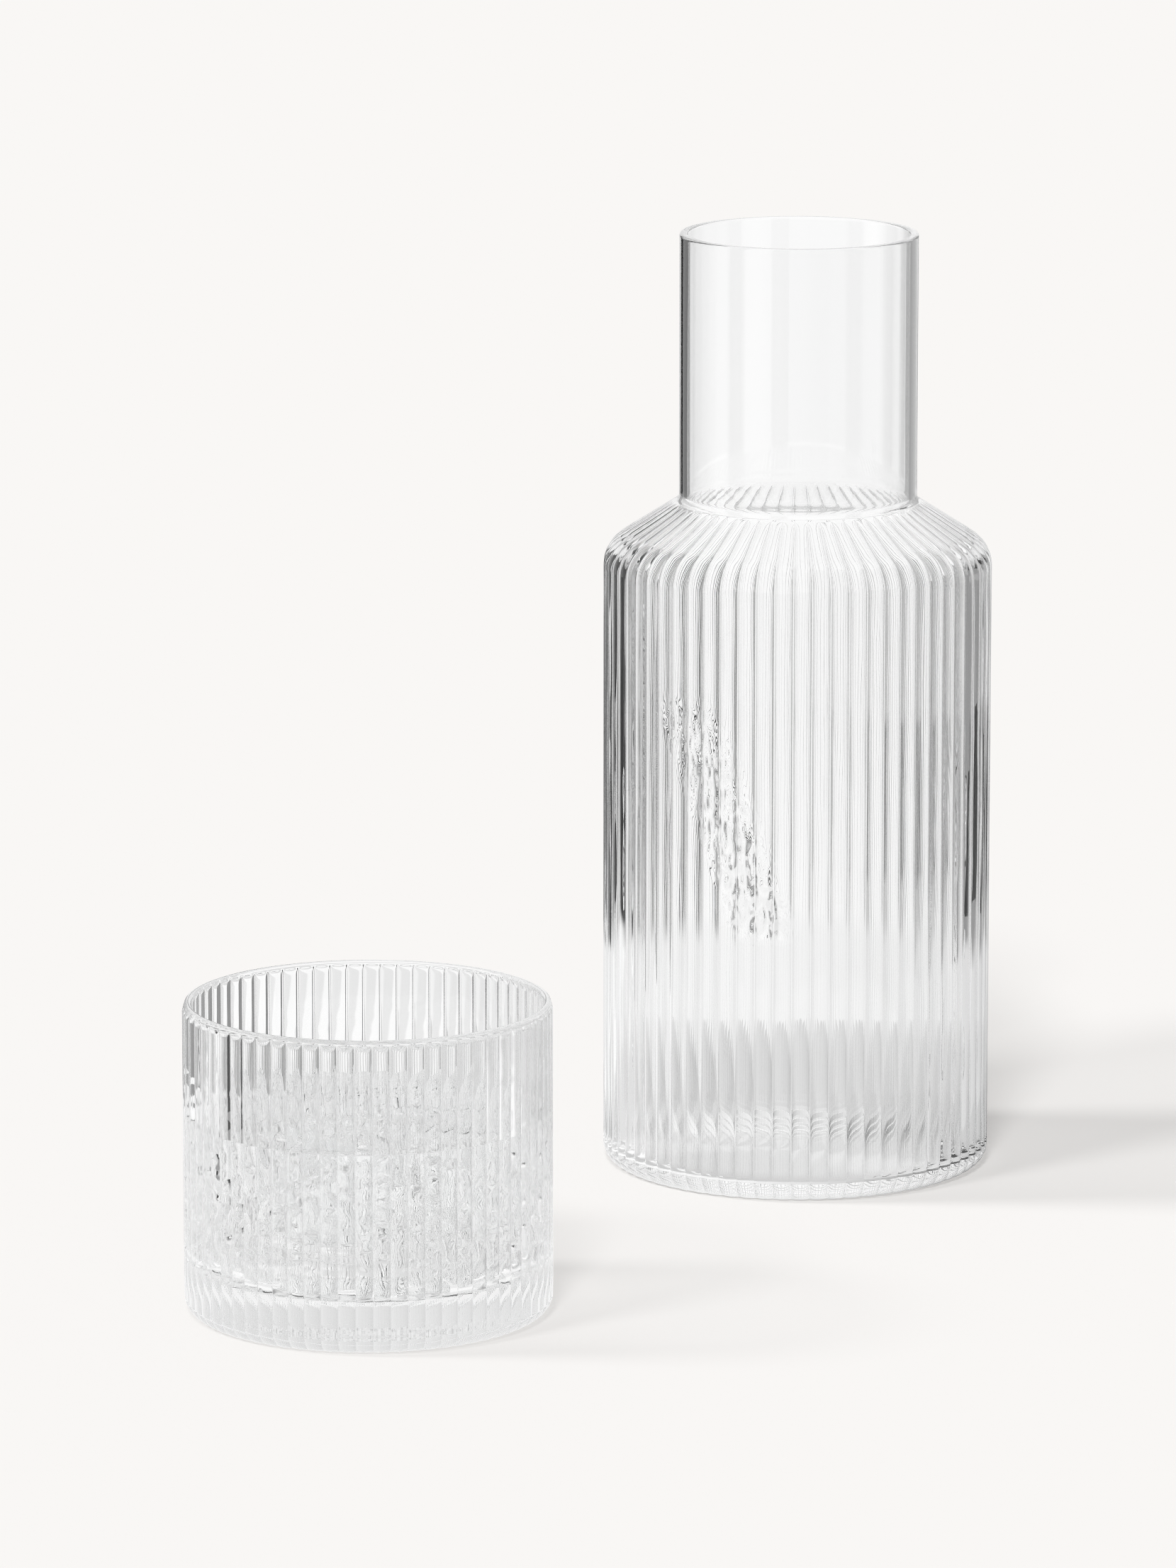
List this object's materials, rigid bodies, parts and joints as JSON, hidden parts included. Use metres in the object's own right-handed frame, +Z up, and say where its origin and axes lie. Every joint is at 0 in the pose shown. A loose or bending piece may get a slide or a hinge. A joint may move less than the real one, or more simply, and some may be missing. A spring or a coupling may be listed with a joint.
{
  "type": "bedside carafe with tumbler",
  "caption": "Ribbed clear glass carafe with a smooth straight neck, and a low ribbed glass tumbler of iced water beside it.",
  "frame": {"origin": "centre of the carafe's foot, on the table", "axes": "+Z up along the carafe's axis; the tumbler stands in front (-Y) and to the left (-X)"},
  "size_m": [0.182, 0.2239, 0.2185],
  "materials": {
    "clear_glass": "clear moulded glass, smooth and polished",
    "tumbler_glass": "clear moulded glass, smooth and polished",
    "water": "still clear water",
    "ice": "wet melting ice with bubbles and cracks inside"
  },
  "bodies": {
    "carafe": {"carafe": "clear_glass"},
    "tumbler": {"tumbler": "tumbler_glass", "water": "water", "ice_front": "ice", "ice_left": "ice", "ice_right": "ice", "ice_back": "ice"}
  },
  "joints": [
    {"name": "tumbler_lift", "type": "slide", "parent": "carafe", "child": "tumbler", "axis": [0, 0, 1], "range_m": [0, 0.25]}
  ]
}
